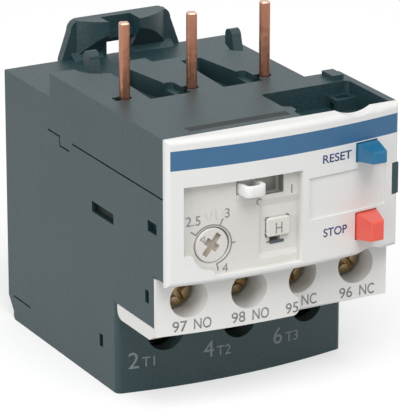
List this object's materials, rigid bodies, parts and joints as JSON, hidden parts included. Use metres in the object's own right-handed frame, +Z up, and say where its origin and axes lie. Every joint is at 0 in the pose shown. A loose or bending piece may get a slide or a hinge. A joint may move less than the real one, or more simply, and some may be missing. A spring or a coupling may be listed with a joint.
{
  "type": "thermal overload relay",
  "caption": "Three-pole thermal overload relay with setting dial, trip indicator, reset and stop buttons, screw terminals and three pins on top that plug into a contactor.",
  "frame": {"origin": "middle of the bounding box on the plane under the foot", "axes": "-Y is the operating face, +Y the rear wall with the hook, +Z up along the contactor pins"},
  "size_m": [0.045, 0.0702, 0.0649],
  "materials": {
    "dark_housing": "fine-grained dark grey moulded polyamide",
    "cover_plastic": "light grey moulded plastic",
    "dial_plastic": "smooth light plastic",
    "inner_plastic": "unfilled light moulded plastic",
    "blue_plastic": "smooth blue plastic",
    "red_plastic": "smooth red plastic",
    "copper": "drawn copper",
    "brass": "machined brass",
    "steel": "zinc-plated steel",
    "bimetal": "rolled bimetal",
    "heater": "oxidised resistance ribbon",
    "insulation": "woven glass sleeve"
  },
  "bodies": {
    "housing": {"front_housing": "dark_housing", "rear_housing": "dark_housing", "front_cover": "cover_plastic", "auxiliary_terminal_block": "cover_plastic", "reset_button_spring": "steel", "stop_button_spring": "steel", "power_terminal_screws": "steel", "power_clamp_washers": "steel", "aux_terminal_screws": "brass", "aux_clamp_washers": "brass", "compensation_pivot": "steel", "trip_lever_pivot": "steel", "contact_rocker_pivot": "steel", "power_pin_1": "copper", "heater_lead_1": "copper", "bimetal_strip_1": "bimetal", "heater_sleeve_1": "insulation", "heater_winding_1": "heater", "output_terminal_1": "copper", "power_pin_2": "copper", "heater_lead_2": "copper", "bimetal_strip_2": "bimetal", "heater_sleeve_2": "insulation", "heater_winding_2": "heater", "output_terminal_2": "copper", "power_pin_3": "copper", "heater_lead_3": "copper", "bimetal_strip_3": "bimetal", "heater_sleeve_3": "insulation", "heater_winding_3": "heater", "output_terminal_3": "copper", "aux_terminal_95": "brass", "aux_terminal_96": "brass", "aux_terminal_97": "brass", "aux_terminal_98": "brass"},
    "dial": {"setting_dial": "dial_plastic", "setting_cam": "inner_plastic"},
    "compensator": {"compensation_lever": "inner_plastic", "compensation_strip": "bimetal"},
    "indicator": {"trip_indicator": "dial_plastic", "indicator_carriage": "inner_plastic"},
    "trip_lever": {"trip_lever": "inner_plastic"},
    "tripping_slide": {"tripping_slide": "inner_plastic"},
    "differential_slide": {"differential_slide": "inner_plastic"},
    "differential_lever": {"differential_lever": "inner_plastic"},
    "contact_rocker": {"contact_rocker": "inner_plastic", "nc_contact_bridge": "copper", "no_contact_bridge": "copper"},
    "reset_button": {"reset_button": "blue_plastic"},
    "stop_button": {"stop_button": "red_plastic"},
    "selector": {"reset_mode_selector": "dial_plastic"}
  },
  "joints": [
    {"name": "dial_turn", "type": "hinge", "parent": "housing", "child": "dial", "pos_m": [-0.0138, -0.02782, 0.0319], "axis": [0, 1, 0], "range_deg": [0, 220]},
    {"name": "compensator_swing", "type": "hinge", "parent": "housing", "child": "compensator", "pos_m": [-0.0194, -0.00742, 0.0368], "axis": [0, 0, 1], "range_deg": [-6.05, 0]},
    {"name": "indicator_slide", "type": "slide", "parent": "housing", "child": "indicator", "axis": [1, 0, 0], "range_m": [0, 0.004]},
    {"name": "trip_lever_swing", "type": "hinge", "parent": "housing", "child": "trip_lever", "pos_m": [0.0185, 0.01918, 0.0401], "axis": [0, 0, 1], "range_deg": [0, 5.9]},
    {"name": "tripping_slide_travel", "type": "slide", "parent": "housing", "child": "tripping_slide", "axis": [1, 0, 0], "range_m": [0, 0.001]},
    {"name": "differential_slide_travel", "type": "slide", "parent": "housing", "child": "differential_slide", "axis": [1, 0, 0], "range_m": [0, 0.001]},
    {"name": "differential_lever_swing", "type": "hinge", "parent": "tripping_slide", "child": "differential_lever", "pos_m": [0.0076, 0.00942, 0.0379], "axis": [0, 0, 1], "range_deg": [-4, 4]},
    {"name": "contact_rocker_turn", "type": "hinge", "parent": "housing", "child": "contact_rocker", "pos_m": [-0.00013, -0.01322, 0.033], "axis": [0, -1, 0], "range_deg": [0, 6.05]},
    {"name": "reset_press", "type": "slide", "parent": "housing", "child": "reset_button", "axis": [0, 1, 0], "range_m": [0, 0.0025], "stiffness_N_per_m": 300, "springref_m": -0.001, "deforming": ["reset_button_spring"]},
    {"name": "stop_press", "type": "slide", "parent": "housing", "child": "stop_button", "axis": [0, 1, 0], "range_m": [0, 0.0025], "stiffness_N_per_m": 300, "springref_m": -0.001, "deforming": ["stop_button_spring"]},
    {"name": "selector_slide", "type": "slide", "parent": "housing", "child": "selector", "axis": [0, 0, -1], "range_m": [0, 0.0013]}
  ],
  "couplings": [
    {"joint": "compensator_swing", "follows": "dial_turn", "ratio": -0.0273},
    {"joint": "trip_lever_swing", "follows": "indicator_slide", "rad_per_m": 25.6},
    {"joint": "tripping_slide_travel", "follows": "indicator_slide", "ratio": 0.25},
    {"joint": "differential_slide_travel", "follows": "indicator_slide", "ratio": 0.25},
    {"joint": "contact_rocker_turn", "follows": "indicator_slide", "rad_per_m": 26.18}
  ]
}
